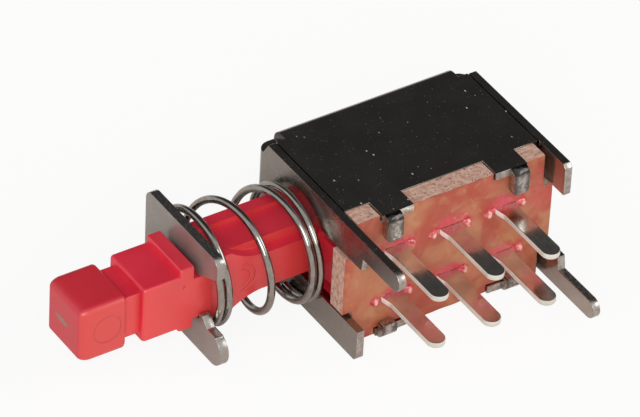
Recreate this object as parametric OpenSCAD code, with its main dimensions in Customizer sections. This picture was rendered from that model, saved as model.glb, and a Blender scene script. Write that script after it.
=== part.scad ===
// Pushbutton slide switch, double pole, double throw, lying on one side wall of its frame.
// X runs along the plunger, which points to -X and is pressed towards +X.
// Y is the depth of the frame: its back is at +Y, its board and terminals are at -Y.
// Z is up. The origin lies on the underside of the lower wall, below the plunger's axis
// and midway along the frame. All sizes are in millimetres.

/* [Frame] */
// Length of the frame over its two end plates
frame_length = 11.3; // [11:0.1:13]
// Height of the frame over its two side walls
frame_height = 7; // [6.8:0.1:8.2]
// Depth of the side walls, from their free edge to the outside of the back
frame_depth = 6.7; // [6.6:0.1:8]
// Thickness of the folded steel sheet
sheet = 0.4; // [0.3:0.05:0.45]
// Inside radius of the folds between back, walls and end plates
fold_radius = 0.2; // [0.1:0.05:0.35]
// Gap between the end of a side wall and the end plate beside it
wall_gap = 0.05; // [0.05:0.05:0.3]
// Length of the corner notch that keeps the folds of wall and plate apart
corner_notch = 0.35; // [0.2:0.05:0.6]
// Gap from the side wall's fold to the relief cut where three folds meet
corner_relief = 0.05; // [0:0.01:0.2]
// Length of the slanted corner of each end plate beside the relief cut
relief_run = 0.4; // [0.2:0.05:0.6]

/* [Frame legs] */
// Height of the open fork in the end plates
fork_gap = 3.6; // [3.6:0.05:4]
// Running clearance between the plunger's shaft and the closed end of the front fork
fork_clearance = 0.2; // [0.1:0.05:0.4]
// Corner radius at the closed end of the fork
fork_corner = 0.4; // [0.2:0.05:0.6]
// Depth of the fork in the rear plate, from the walls' free edge
rear_fork_depth = 1; // [0.6:0.1:2]
// Width of the long mounting leg on each end plate
leg_width = 1; // [0.8:0.05:1.2]
// Length of the long leg from the board's face to its round tip
long_leg = 4.2; // [3.5:0.05:5]
// Length of the short leg from the board's face to its square end
short_leg = 1.2; // [0.8:0.05:1.6]
// Length of the slanted shoulder where the long leg narrows
leg_step = 0.1; // [0.05:0.05:0.6]
// Chamfer on the free corners of the short legs
leg_chamfer = 0.2; // [0.1:0.05:0.3]

/* [Frame tabs] */
// Width of each tab that holds the board, at its root
tab_width = 1.7; // [1.4:0.05:2]
// Distance between the middles of the two tabs on one wall
tab_spacing = 6.1; // [5.8:0.1:6.4]
// Width of the outer part of the tab, which is folded over the board
crimp_width = 0.85; // [0.6:0.05:1.1]
// Distance from the outer side of the tab to its folded part
crimp_inset = 0.08; // [0.02:0.02:0.2]
// Length of the folded part on the upper wall, from the outside of the wall to its end
crimp_length = 1.35; // [0.9:0.05:1.5]
// Length of the folded part on the lower wall
lower_crimp_length = 0.8; // [0.6:0.05:1.5]
// Length by which the flat part of the tab stands out of the board's face
tab_proud = 0.12; // [0.05:0.01:0.3]

/* [Terminal board] */
// Thickness of the board
board_thickness = 1; // [0.8:0.05:1.2]
// Gap between the board's main part and each end plate
board_end_gap = 0.2; // [0.1:0.05:0.4]
// Distance by which the board's edges stay inside the side walls' outer faces
board_edge_inset = 0.05; // [0:0.01:0.15]
// Distance by which the board sits off the frame's middle, towards the plunger
board_offset = 0.1; // [0:0.02:0.15]
// Height of the two tongues that reach through the forks
tongue_height = 3.2; // [2.8:0.05:3.5]
// Length of the board over its two tongues
tongue_length = 11.2; // [10.9:0.05:12]
// Clearance round the tabs in the board's notches
notch_clearance = 0.05; // [0.02:0.01:0.15]

/* [Terminals] */
// Distance between neighbouring terminals in a row
terminal_pitch = 3; // [2.9:0.05:3.2]
// Distance by which the middle terminals sit off the frame's middle, towards the plunger
terminal_offset = 0.05; // [0:0.01:0.15]
// Distance between the two rows
row_spacing = 2.7; // [2.6:0.05:3]
// Distance of the rows' middle below the plunger's axis
row_drop = 0.15; // [0:0.05:0.25]
// Width of a terminal's leg
pin_width = 0.9; // [0.6:0.05:1]
// Thickness of the terminal strip
pin_thickness = 0.3; // [0.2:0.02:0.36]
// Length of a terminal's leg from the board's face to its round tip
pin_length = 4.05; // [3:0.05:5]
// Width of the leg where it leaves the board
pin_root_width = 1.14; // [1:0.02:1.3]
// Length of the root before it starts to taper
pin_root_length = 0.15; // [0.05:0.05:0.3]
// Length of the taper from the root's width to the leg's width
pin_taper = 0.5; // [0.3:0.05:0.8]
// Width of the strip where it passes through the board
strip_width = 1.9; // [1.6:0.05:2]
// Width of the contact blade inside the switch
blade_width = 2.2; // [2.1:0.05:2.3]
// Length of the contact blade behind the board
blade_length = 1.5; // [1.2:0.05:1.7]
// Clearance round the strip in its slot in the board
slot_clearance = 0.02; // [0.01:0.01:0.05]

/* [Resin seals] */
// Thickness of the resin over each slot
seal_thickness = 0.07; // [0.04:0.01:0.12]
// Width of the resin line over each slot
seal_width = 0.44; // [0.4:0.02:0.5]
// Radius of the resin bead at each end of the slot
bead_radius = 0.24; // [0.22:0.01:0.3]
// Gap between the resin and the leg that it surrounds
seal_clearance = 0.01; // [0.01:0.01:0.03]

/* [Plunger outside the frame] */
// Travel of the plunger from rest to its inner stop
travel = 2.6; // [2:0.1:2.8]
// Side of the square head that takes a cap
head_size = 3; // [2.6:0.05:3.3]
// Length of the head
head_length = 2.45; // [1.8:0.05:2.6]
// Rounding of all the head's edges
head_radius = 0.35; // [0.1:0.05:0.5]
// Length of the neck behind the head
neck_length = 0.8; // [0.6:0.05:1.2]
// Width of the neck, along the depth of the frame
neck_width = 2.1; // [1.8:0.05:2.4]
// Height of the neck
neck_height = 2.3; // [1.8:0.05:2.5]
// Length of the block between the neck and the retainer's groove
block_length = 2.65; // [2.2:0.05:3.2]
// Chamfer round the front of the block
block_chamfer = 0.28; // [0.1:0.02:0.4]
// Length of the raised rim at the rear of the block
rim_length = 0.75; // [0.4:0.05:1]
// Height of the rim above the block
rim_height = 0.38; // [0.1:0.02:0.4]
// Height of the rim below the block
lower_rim_height = 0.16; // [0.1:0.02:0.4]
// Length of the groove that holds the spring's retainer
groove_length = 0.95; // [0.85:0.05:1.2]
// Distance from the axis to the groove's core on the side that faces the back
groove_core_back = 1; // [0.8:0.05:1.1]
// Height of the groove's core
groove_core_height = 2.3; // [2:0.05:2.5]

/* [Plunger shaft] */
// Length of the shaft from the groove to the outside of the front plate
shaft_length = 5.35; // [5.2:0.05:6.2]
// Width of the shaft's middle core, along the depth of the frame
core_width = 1.6; // [1.2:0.05:1.8]
// Height of the shaft's middle core
core_height = 3; // [2.6:0.05:3.2]
// Height of the rail on the side of the shaft that faces the back
rail_height = 3.5; // [3.2:0.02:3.56]
// Width of that rail
rail_width = 0.6; // [0.4:0.05:0.7]
// Width of the rib on the side of the shaft that faces the board
rib_width = 0.55; // [0.4:0.05:0.6]
// Height of the rib at the frame
rib_height = 2; // [1.6:0.05:2.2]
// Height of the rib's flared end at the groove
rib_flare_height = 3.35; // [3:0.05:3.4]
// Radius of the hollow curve between the flared end and the rib
flare_radius = 3.1; // [2:0.1:3.5]
// Length of the flared part of the rib, from the groove
flare_length = 3; // [2.6:0.1:3.6]

/* [Slider inside the frame] */
// Clearance between the slider and the walls, back and board
slider_clearance = 0.1; // [0.05:0.01:0.15]
// Gap left at each stop between the slider and the end plate
stop_gap = 0.03; // [0.01:0.01:0.1]
// Chamfer along the slider's long edges
slider_chamfer = 0.3; // [0.1:0.05:0.5]
// Clearance above and below the blades in the slider's channels
channel_clearance = 0.12; // [0.08:0.01:0.2]
// Clearance between the ends of the blades and the bottom of the channels
channel_end_clearance = 0.1; // [0.05:0.01:0.2]

/* [Contact clips] */
// Length of each moving contact clip
clip_length = 2.2; // [1.9:0.05:2.5]
// Height of the clip over its two jaws
clip_height = 1.2; // [1:0.05:1.4]
// Thickness of the clip's spring sheet
clip_sheet = 0.15; // [0.1:0.01:0.2]
// Gap between each jaw and the blade that it wipes
jaw_gap = 0.02; // [0.01:0.01:0.05]
// Clearance between the clip and its pocket in the slider
pocket_clearance = 0.05; // [0.02:0.01:0.1]
// Distance from the ends of the blades to the clip's closed back
clip_back_gap = 0.35; // [0.3:0.01:0.4]
// Distance from the slider's face to the lips of the clip
clip_inset = 0.1; // [0.05:0.01:0.2]
// Distance from the lips of the clip to the line where its jaws pinch the blade
lip_length = 0.45; // [0.3:0.05:0.6]
// Distance by which each lip opens away from the blade
lip_rise = 0.2; // [0.1:0.02:0.25]
// Length of the straight part of the clip next to its closed back
clip_straight = 0.4; // [0.2:0.05:0.6]

/* [Spring and retainer] */
// Thickness of the retainer's steel sheet
retainer_sheet = 0.45; // [0.35:0.05:0.6]
// Height of the retainer
retainer_height = 6; // [5.8:0.05:6.4]
// Distance from the plunger's axis to the retainer's closed side
retainer_back = 3.15; // [3:0.05:3.4]
// Distance from the plunger's axis to the tip of the retainer's upper arm
retainer_reach = 2.95; // [2.6:0.05:3.8]
// Distance from the plunger's axis to the tip of its longer lower arm
retainer_lower_reach = 3.45; // [3:0.05:3.8]
// Distance from the plunger's axis down to the upper edge of the lower arm
mouth_low = 1.35; // [1.3:0.05:1.5]
// Distance from the axis to the lower edge of the upper arm at its tip
mouth_high = 1.95; // [1.6:0.05:2.2]
// Distance from the axis to the corner from which that edge rises
mouth_rise_start = 1.4; // [1.2:0.05:1.6]
// Width of the hook on the lower arm that snaps past the groove's core
hook_width = 0.25; // [0.2:0.05:0.4]
// Distance from the axis down to the top of the hook
hook_low = 0.9; // [0.8:0.05:1.1]
// Clearance between the retainer's slot and the groove's core
retainer_clearance = 0.06; // [0.03:0.01:0.15]
// Rounding of the retainer's corners
retainer_corner = 0.5; // [0.2:0.05:0.6]
// Rounding of the lower arm's tip
arm_corner = 0.8; // [0.5:0.05:0.82]
// Angle by which the loose retainer leans in its groove
retainer_lean = 0.5; // [0:0.25:2]
// Diameter of the spring wire
wire = 0.37; // [0.25:0.01:0.4]
// Mean diameter of the return spring
spring_diameter = 5.48; // [5.46:0.01:5.6]
// Turns of the spring that can be compressed
active_turns = 1.75; // [1.5:0.05:3]
// Closed turns at the spring's front end
front_turns = 1.2; // [1:0.05:1.3]
// Closed turns at the spring's rear end
rear_turns = 1.4; // [1:0.05:1.4]
// Angle round the axis at which the wire starts, from the back over the top
start_angle = 150; // [90:5:200]
// Distance by which the spring's front end sits nearer the back than the plunger's axis
front_offset = 0.5; // [0.4:0.01:0.5]
// Distance by which its rear end sits nearer the back than the plunger's axis
rear_offset = 0.07; // [0:0.01:0.5]
// Height of the spring's front end above the plunger's axis
front_rise = 0.02; // [0:0.01:0.1]
// Depth of its rear end below the plunger's axis
rear_drop = 0.21; // [0:0.01:0.3]
// Distance by which the top of the open turns leans towards the frame
turn_lean = 0.25; // [0:0.01:0.3]
// Gap left between the spring and the faces that it presses on
seat_gap = 0.02; // [0.01:0.01:0.05]

/* [Hidden] */
$fn = 48;

nickel = [0.62, 0.6, 0.57];
phenolic = [0.78, 0.42, 0.25];
tin = [0.82, 0.8, 0.74];
resin = [0.85, 0.25, 0.28];
red_plastic = [0.85, 0.16, 0.18];
brass = [0.8, 0.66, 0.35];
spring_steel = [0.55, 0.54, 0.52];

fold_outer = fold_radius + sheet;
half_length = frame_length / 2;
axis_z = frame_height / 2;
cavity_depth = frame_depth - sheet;
back_y = cavity_depth / 2 + sheet;
wall_edge_y = -cavity_depth / 2;
board_front_y = wall_edge_y - board_thickness;
wall_half = half_length - sheet - wall_gap;
fold_half = half_length - fold_outer - corner_notch;
tab_root_y = board_front_y - tab_proud;
relief_z = fold_outer + corner_relief;

shaft_y_min = -core_width / 2 - rib_width;
shaft_y_max = core_width / 2 + rail_width;
front_fork_end = shaft_y_max + fork_clearance;
rear_fork_end = wall_edge_y + rear_fork_depth;

board_half = half_length - sheet - board_end_gap;
board_half_height = frame_height / 2 - board_edge_inset;
notch_depth = sheet + notch_clearance - board_edge_inset;
blade_tip_y = wall_edge_y + blade_length;

groove_rear_x = -half_length - shaft_length;
groove_front_x = groove_rear_x - groove_length;
block_front_x = groove_front_x - block_length;
head_rear_x = block_front_x - neck_length;
head_front_x = head_rear_x - head_length;
flare_rise = (rib_flare_height - rib_height) / 2;
flare_run = sqrt(pow(flare_radius, 2) - pow(flare_radius - flare_rise, 2));
flare_end = flare_length - flare_run;
slider_front_x = -half_length + sheet + stop_gap;
slider_length = frame_length - 2 * sheet - 2 * stop_gap - travel;
slider_y = cavity_depth / 2 - slider_clearance;
slider_half_height = axis_z - sheet - slider_clearance;
clip_x = -terminal_offset - travel / 2;
clip_back_y = blade_tip_y + clip_back_gap;
clip_mouth_y = -slider_y + clip_inset;

retainer_x = groove_rear_x - groove_length / 2;
retainer_foot = retainer_height / 2 * sin(retainer_lean) + retainer_sheet / 2 * cos(retainer_lean);
spring_front_x = retainer_x + retainer_foot + wire / 2 + seat_gap;
spring_rear_x = -half_length - wire / 2 - seat_gap;
closed_pitch = wire + 0.03;
turns = front_turns + active_turns + rear_turns;
wire_sides = 8;
steps_per_turn = 28;

// Places the children's plane drawing, given as (Y, Z), at x and extrudes it towards +X
module plate_x(x, thickness) {
    translate([x, 0, 0])
        rotate([90, 0, 90])
            linear_extrude(thickness) children();
}

// Places the children's plane drawing, given as (X, Z), at y and extrudes it towards +Y
module plate_y(y, thickness) {
    translate([0, y + thickness, 0])
        rotate([90, 0, 0])
            linear_extrude(thickness) children();
}

// Places the children's plane drawing, given as (X, Y), at z and extrudes it upwards
module plate_z(z, thickness) {
    translate([0, 0, z])
        linear_extrude(thickness) children();
}

// Plane rectangle between two opposite corners
module area(low, high) {
    translate(low) square([high[0] - low[0], high[1] - low[1]]);
}

// The same rectangle with rounded corners
module rounded_area(low, high, radius) {
    area([low[0] + radius, low[1]], [high[0] - radius, high[1]]);
    area([low[0], low[1] + radius], [high[0], high[1] - radius]);
    for (x = [low[0] + radius, high[0] - radius], y = [low[1] + radius, high[1] - radius])
        translate([x, y]) circle(r = radius);
}

// Solid box between two opposite corners
module block(low, high) {
    translate(low) cube([high[0] - low[0], high[1] - low[1], high[2] - low[2]]);
}

// Mirrors the children about the height of the plunger's axis
module flip_z() {
    translate([0, 0, frame_height]) mirror([0, 0, 1]) children();
}

// Quarter-round fold of the sheet about the Z axis
module fold(length) {
    rotate_extrude(angle = 90)
        translate([fold_radius, 0]) square([sheet, length]);
}

// Outline of an end plate as (Y, Z), with its long leg at the top
module end_plate_outline(fork_end) {
    fork_low = axis_z - fork_gap / 2;
    fork_high = axis_z + fork_gap / 2;
    short_end = board_front_y - short_leg;
    tip_y = board_front_y - long_leg + leg_width / 2;
    leg_low = frame_height - leg_width;
    difference() {
        union() {
            polygon([
                [back_y - fold_outer, relief_z],
                [back_y - fold_outer - relief_run, 0],
                [short_end + leg_chamfer, 0],
                [short_end, leg_chamfer],
                [short_end, frame_height],
                [back_y - fold_outer - relief_run, frame_height],
                [back_y - fold_outer, frame_height - relief_z]
            ]);
            polygon([
                [short_end, fork_high],
                [short_end - leg_step, leg_low],
                [tip_y, leg_low],
                [tip_y, frame_height],
                [short_end, frame_height]
            ]);
            translate([tip_y, leg_low + leg_width / 2]) circle(d = leg_width);
        }
        area([short_end - 1, fork_low], [fork_end - fork_corner, fork_high]);
        area([short_end - 1, fork_low + fork_corner], [fork_end, fork_high - fork_corner]);
        for (z = [fork_low + fork_corner, fork_high - fork_corner])
            translate([fork_end - fork_corner, z]) circle(r = fork_corner);
    }
}

// Front end plate with the fold that joins it to the back
module front_plate() {
    plate_x(-half_length, sheet) end_plate_outline(front_fork_end);
    translate([-half_length + fold_outer, back_y - fold_outer, relief_z])
        rotate([0, 0, 90]) fold(frame_height - 2 * relief_z);
}

// Rear end plate, whose long leg is at the bottom
module rear_plate() {
    flip_z() {
        plate_x(half_length - sheet, sheet) end_plate_outline(rear_fork_end);
        translate([half_length - fold_outer, back_y - fold_outer, relief_z])
            fold(frame_height - 2 * relief_z);
    }
}

// Back of the frame, cut short beside the folds of the side walls
module back_plate() {
    block([-fold_half, back_y - sheet, fold_outer], [fold_half, back_y, frame_height - fold_outer]);
    block([-half_length + fold_outer, back_y - sheet, relief_z],
        [half_length - fold_outer, back_y, frame_height - relief_z]);
}

// Tab at the free edge of the upper wall, folded over the board on its outer half
module tab(fold_end) {
    half = tab_width / 2;
    crimp_low = -half + crimp_inset;
    crimp_high = crimp_low + crimp_width;
    plate_z(frame_height - sheet, sheet) area([-half, tab_root_y], [half, wall_edge_y]);
    plate_x(crimp_low, crimp_width)
        intersection() {
            translate([tab_root_y, frame_height - sheet]) circle(r = sheet);
            area([tab_root_y - sheet, frame_height - sheet], [tab_root_y, frame_height]);
        }
    block([crimp_low, tab_root_y - sheet, frame_height - fold_end],
        [crimp_high, tab_root_y, frame_height - sheet]);
}

// Upper side wall with its fold and its two tabs
module side_wall(fold_end) {
    fold_y = back_y - fold_outer;
    plate_z(frame_height - sheet, sheet) {
        area([-wall_half, wall_edge_y], [wall_half, fold_y - corner_notch]);
        area([-fold_half, wall_edge_y], [fold_half, fold_y]);
    }
    translate([-fold_half, fold_y, frame_height - fold_outer])
        rotate([90, 0, 90]) fold(2 * fold_half);
    for (side = [0, 1])
        mirror([side, 0, 0])
            translate([-tab_spacing / 2, 0, 0]) tab(fold_end);
}

// Frame folded from one piece of nickel-plated steel sheet
module frame() {
    color(nickel) {
        front_plate();
        rear_plate();
        back_plate();
        side_wall(crimp_length);
        flip_z() side_wall(lower_crimp_length);
    }
}

// Height of the middle of a terminal, numbered 1 to 3 in the upper row and 4 to 6 below
function row_z(i) = axis_z - row_drop + (i <= 3 ? 0.5 : -0.5) * row_spacing;

// Place along X of the middle of a terminal
function pin_x(i) = ((i - 1) % 3 - 1) * terminal_pitch - terminal_offset;

// Punched phenolic board that closes the frame and carries the terminals
module terminal_board() {
    color(phenolic)
        difference() {
            plate_y(board_front_y, board_thickness)
                difference() {
                    translate([-board_offset, axis_z]) {
                        area([-board_half, -board_half_height], [board_half, board_half_height]);
                        area([-tongue_length / 2, -tongue_height / 2], [tongue_length / 2, tongue_height / 2]);
                    }
                    for (x = [-tab_spacing / 2, tab_spacing / 2], z = [0, frame_height])
                        translate([x, z])
                            square([tab_width + 2 * notch_clearance,
                                2 * (notch_depth + board_edge_inset)], center = true);
                }
            for (i = [1:6])
                translate([pin_x(i), (board_front_y + wall_edge_y) / 2, row_z(i)])
                    cube([strip_width + 2 * slot_clearance, board_thickness + 1,
                        pin_thickness + 2 * slot_clearance], center = true);
        }
}

// One stamped terminal strip: leg, shoulder, board section and contact blade
module terminal(i) {
    tip_y = board_front_y - pin_length + pin_width / 2;
    root_y = board_front_y - pin_root_length;
    color(tin)
        translate([pin_x(i), 0, row_z(i)])
            plate_z(-pin_thickness / 2, pin_thickness) {
                translate([0, tip_y]) circle(d = pin_width);
                area([-pin_width / 2, tip_y], [pin_width / 2, board_front_y]);
                polygon([
                    [-pin_root_width / 2, board_front_y],
                    [-pin_root_width / 2, root_y],
                    [-pin_width / 2, root_y - pin_taper],
                    [pin_width / 2, root_y - pin_taper],
                    [pin_root_width / 2, root_y],
                    [pin_root_width / 2, board_front_y]
                ]);
                area([-strip_width / 2, board_front_y], [strip_width / 2, wall_edge_y]);
                area([-blade_width / 2, wall_edge_y], [blade_width / 2, blade_tip_y]);
            }
}

// Line of sealing resin over one slot, with a bead at each end
module resin_seal(i) {
    color(resin)
        translate([pin_x(i), board_front_y, row_z(i)])
            difference() {
                union() {
                    block([-strip_width / 2, -seal_thickness, -seal_width / 2],
                        [strip_width / 2, 0, seal_width / 2]);
                    for (x = [-strip_width / 2, strip_width / 2])
                        translate([x, 0, 0])
                            intersection() {
                                sphere(r = bead_radius);
                                block([-1, -1, -1], [1, 0, 1]);
                            }
                }
                cube([pin_root_width + 2 * seal_clearance, 1, pin_thickness + 2 * seal_clearance],
                    center = true);
            }
}

// Square head that a cap is pushed on to, rounded on every side
module plunger_head() {
    half = head_size / 2;
    rear = head_rear_x;
    intersection() {
        plate_x(head_front_x, head_length) rounded_area([-half, -half], [half, half], head_radius);
        plate_y(-half, head_size) rounded_area([head_front_x, -half], [rear, half], head_radius);
        plate_z(-half, head_size) rounded_area([head_front_x, -half], [rear, half], head_radius);
    }
}

// Outline of the block, given its half height or half width
module block_outline(half) {
    polygon([
        [block_front_x, -half + block_chamfer],
        [block_front_x + block_chamfer, -half],
        [groove_front_x, -half],
        [groove_front_x, half],
        [block_front_x + block_chamfer, half],
        [block_front_x, half - block_chamfer]
    ]);
}

// Block between the neck and the groove, with its raised rim at the rear
module plunger_block() {
    half = head_size / 2;
    intersection() {
        plate_y(-half, head_size) block_outline(half);
        plate_z(-half, head_size) block_outline(half);
    }
    block([groove_front_x - rim_length, -half, -half - lower_rim_height],
        [groove_front_x, half, half + rim_height]);
}

// Rib beside the shaft's core as (X, Z), with its flared end at the groove
module rib_outline() {
    flare_x = groove_rear_x + flare_end;
    rear = slider_front_x + 1;
    difference() {
        area([groove_rear_x, -rib_flare_height / 2], [flare_x + flare_run, rib_flare_height / 2]);
        for (side = [-1, 1])
            translate([flare_x + flare_run, side * (rib_height / 2 + flare_radius)])
                circle(r = flare_radius, $fn = 96);
    }
    area([groove_rear_x, -rib_height / 2], [rear, rib_height / 2]);
}

// Shaft between the groove and the slider, made of a core, a rail and a flared rib
module plunger_shaft() {
    rear = slider_front_x + 1;
    block([groove_rear_x, -core_width / 2, -core_height / 2], [rear, core_width / 2, core_height / 2]);
    block([groove_rear_x, core_width / 2, -rail_height / 2], [rear, shaft_y_max, rail_height / 2]);
    plate_y(shaft_y_min, rib_width) rib_outline();
}

// Section of the slider body as (Y, Z), with its long edges chamfered
module slider_section() {
    polygon([
        [-slider_y, -slider_half_height + slider_chamfer],
        [-slider_y + slider_chamfer, -slider_half_height],
        [slider_y - slider_chamfer, -slider_half_height],
        [slider_y, -slider_half_height + slider_chamfer],
        [slider_y, slider_half_height - slider_chamfer],
        [slider_y - slider_chamfer, slider_half_height],
        [-slider_y + slider_chamfer, slider_half_height],
        [-slider_y, slider_half_height - slider_chamfer]
    ]);
}

// Slider body with a channel for each row of blades and a pocket for each clip
module slider() {
    channel = pin_thickness / 2 + channel_clearance;
    channel_end_y = blade_tip_y + channel_end_clearance;
    pocket_x = clip_length / 2 + pocket_clearance;
    pocket_z = clip_height / 2 + pocket_clearance;
    difference() {
        plate_x(slider_front_x, slider_length) slider_section();
        for (i = [1, 4])
            translate([0, 0, row_z(i) - axis_z]) {
                block([slider_front_x - 1, -slider_y - 1, -channel],
                    [slider_front_x + slider_length + 1, channel_end_y, channel]);
                block([clip_x - pocket_x, -slider_y - 1, -pocket_z],
                    [clip_x + pocket_x, clip_back_y + pocket_clearance, pocket_z]);
            }
    }
}

// Plunger and slider, moulded in one piece of red plastic
module plunger() {
    color(red_plastic)
        translate([0, 0, axis_z]) {
            plunger_head();
            block([head_rear_x - head_radius, -neck_width / 2, -neck_height / 2],
                [block_front_x, neck_width / 2, neck_height / 2]);
            plunger_block();
            block([groove_front_x, -head_size / 2, -groove_core_height / 2],
                [groove_rear_x, groove_core_back, groove_core_height / 2]);
            plunger_shaft();
            slider();
            // Core that runs on through every section, from the head into the shaft
            block([head_rear_x - head_radius, -core_width / 4, -core_width / 4],
                [groove_rear_x + core_width, core_width / 4, core_width / 4]);
        }
}

// Upper half of a contact clip as (Y, Z): the jaw closes on the blade and opens at its lips
function jaw_points() =
    let (outer = clip_height / 2)
    let (pinch = pin_thickness / 2 + jaw_gap)
    let (pinch_y = clip_mouth_y + lip_length)
    let (bend_y = clip_back_y - clip_straight)
    [
        [clip_back_y, outer],
        [bend_y, outer],
        [pinch_y, pinch + clip_sheet],
        [clip_mouth_y, pinch + clip_sheet + lip_rise],
        [clip_mouth_y, pinch + lip_rise],
        [pinch_y, pinch],
        [bend_y, outer - clip_sheet],
        [clip_back_y - clip_sheet, outer - clip_sheet]
    ];

// Moving contact clip that joins two neighbouring blades of a row
module contact_clip(row) {
    upper = jaw_points();
    lower = [for (i = [len(upper) - 1:-1:0]) [upper[i][0], -upper[i][1]]];
    color(brass)
        translate([0, 0, row_z(row)])
            plate_x(clip_x - clip_length / 2, clip_length) polygon(concat(upper, lower));
}

// Outline of the retainer as (Y, Z) about the plunger's axis
module retainer_outline() {
    half = retainer_height / 2;
    slot_half = groove_core_height / 2 + retainer_clearance;
    slot_back = groove_core_back + retainer_clearance;
    slot_front = head_size / 2 + retainer_clearance;
    hook_end = slot_front + hook_width;
    difference() {
        union() {
            rounded_area([-retainer_reach, -half], [retainer_back, half], retainer_corner);
            rounded_area([-retainer_lower_reach, -half], [0, -mouth_low], arm_corner);
        }
        polygon([
            [slot_back, -slot_half],
            [slot_back, slot_half],
            [-mouth_rise_start, slot_half],
            [-retainer_reach, mouth_high],
            [-retainer_lower_reach, mouth_high],
            [-retainer_lower_reach, -mouth_low],
            [-hook_end - mouth_low + hook_low, -mouth_low],
            [-hook_end, -hook_low],
            [-slot_front, -hook_low],
            [-slot_front, -slot_half]
        ]);
    }
}

// U-shaped steel retainer that sits in the plunger's groove and carries the spring
module spring_retainer() {
    color(nickel)
        translate([retainer_x, 0, axis_z])
            rotate([0, -retainer_lean, 0])
                plate_x(-retainer_sheet / 2, retainer_sheet) retainer_outline();
}

// Distance along the spring after a number of turns: closed, open, then closed again
function wire_x(turn) =
    let (open_length = spring_rear_x - spring_front_x - closed_pitch * (front_turns + rear_turns))
    let (open_turns = min(max(turn - front_turns, 0), active_turns))
    closed_pitch * (turn - open_turns) + open_length * open_turns / active_turns;

// Distance by which a place on the open turns leans towards the frame
function lean_x(turn) =
    let (open_part = min(max((turn - front_turns) / active_turns, 0), 1))
    turn_lean * sin(180 * open_part) * sin(start_angle + 360 * turn);

// Middle of the coil at a distance along the spring, as (Y, Z)
function coil_middle(x) =
    let (part = x / (spring_rear_x - spring_front_x))
    [front_offset + (rear_offset - front_offset) * part,
        axis_z + front_rise - (rear_drop + front_rise) * part];

// Point on the wire's middle line after a number of turns from the front end
function wire_point(turn) =
    let (angle = start_angle + 360 * turn)
    let (x = wire_x(turn))
    let (middle = coil_middle(x))
    [spring_front_x + x + lean_x(turn), middle[0] + spring_diameter / 2 * cos(angle),
        middle[1] + spring_diameter / 2 * sin(angle)];

function unit(v) = v / norm(v);

// Ring of points round the wire at a step of the sweep
function wire_ring(step, steps) =
    let (turn = turns * step / steps)
    let (centre = wire_point(turn))
    let (along = unit(wire_point(turn + 0.01) - wire_point(turn - 0.01)))
    let (angle = start_angle + 360 * turn)
    let (outward = [0, cos(angle), sin(angle)])
    let (side = unit(cross(along, outward)))
    let (up = cross(side, along))
    [for (k = [0:wire_sides - 1])
        let (a = 360 * k / wire_sides)
        centre + wire / 2 * (cos(a) * up + sin(a) * side)];

// Compression spring wound from round wire, closed at both ends
module return_spring() {
    steps = round(turns * steps_per_turn);
    points = [for (s = [0:steps]) each wire_ring(s, steps)];
    last = steps * wire_sides;
    sides = [for (s = [0:steps - 1], k = [0:wire_sides - 1])
        let (a = s * wire_sides + k)
        let (b = s * wire_sides + (k + 1) % wire_sides)
        [a, a + wire_sides, b + wire_sides, b]];
    ends = [[for (k = [0:wire_sides - 1]) k],
        [for (k = [wire_sides - 1:-1:0]) last + k]];
    color(spring_steel) polyhedron(points, concat(sides, ends));
}

frame();
terminal_board();
for (i = [1:6]) {
    terminal(i);
    resin_seal(i);
}
plunger();
contact_clip(1);  // contact_clip_1
contact_clip(4);  // contact_clip_2
spring_retainer();
return_spring();
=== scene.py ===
"""Looks for the pushbutton slide switch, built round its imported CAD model.

Every size is in millimetres until a mesh is finished, and the axes are the CAD's:
X along the plunger, -Y towards the terminals, Z up.
"""

import math

import bmesh
import bpy
from mathutils import Matrix, Vector, noise


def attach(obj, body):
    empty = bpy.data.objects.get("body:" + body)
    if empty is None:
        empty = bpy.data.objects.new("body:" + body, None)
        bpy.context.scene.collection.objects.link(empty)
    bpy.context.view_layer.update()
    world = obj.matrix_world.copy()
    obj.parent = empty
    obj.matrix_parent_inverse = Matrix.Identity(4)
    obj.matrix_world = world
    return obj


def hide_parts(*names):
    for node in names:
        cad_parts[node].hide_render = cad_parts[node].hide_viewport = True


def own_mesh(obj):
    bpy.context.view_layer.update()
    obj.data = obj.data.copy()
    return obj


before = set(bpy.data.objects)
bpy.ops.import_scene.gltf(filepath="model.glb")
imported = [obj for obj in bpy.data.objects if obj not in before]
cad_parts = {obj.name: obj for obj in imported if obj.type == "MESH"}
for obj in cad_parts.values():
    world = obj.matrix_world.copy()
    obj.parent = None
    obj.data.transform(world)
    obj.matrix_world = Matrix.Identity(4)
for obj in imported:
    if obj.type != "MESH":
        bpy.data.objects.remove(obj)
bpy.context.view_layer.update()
MM = 0.001
TO_MM = 1000

# Without a seed, noise_vector differs from run to run
NOISE_SEED = 7
noise.seed_set(NOISE_SEED)

# ---------------------------------------------------------------- sizes, in millimetres
# Middle of the plunger and of the frame, seen from the front
AXIS_Z = 3.5

# Frame: places that tell its faces apart
LEG_X = 4.2
END_PLATE_X = 5.3
TAB_ROOT_Y = -4.2
SHORT_LEG_Y = -5.4
RELIEF_Y = 2.6
RELIEF_HEIGHT = 2.9
CRIMP_X = 3.4
CRIMP_REACH = 0.55
TAB_TIP_Z = (0.7, 5.8)
TAB_TIP_RADIUS = 0.2
FRAME_EDGE_RADIUS = 0.035
SHEET_LEAST = 0.3

# Terminal board
BOARD_FRONT_Y = -4.15
BOARD_TOP_Z = 6.8
BOARD_RAGGED = (0.028, 0.03)
BOARD_TOP_WORN = 0.015
BOARD_RAGGED_SCALE = 2.3
RIM_SHORTEST = 0.25
RIM_STEP = 0.2
TONGUE_X = 4.4
SLOT_CLEAR = 0.35

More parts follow.
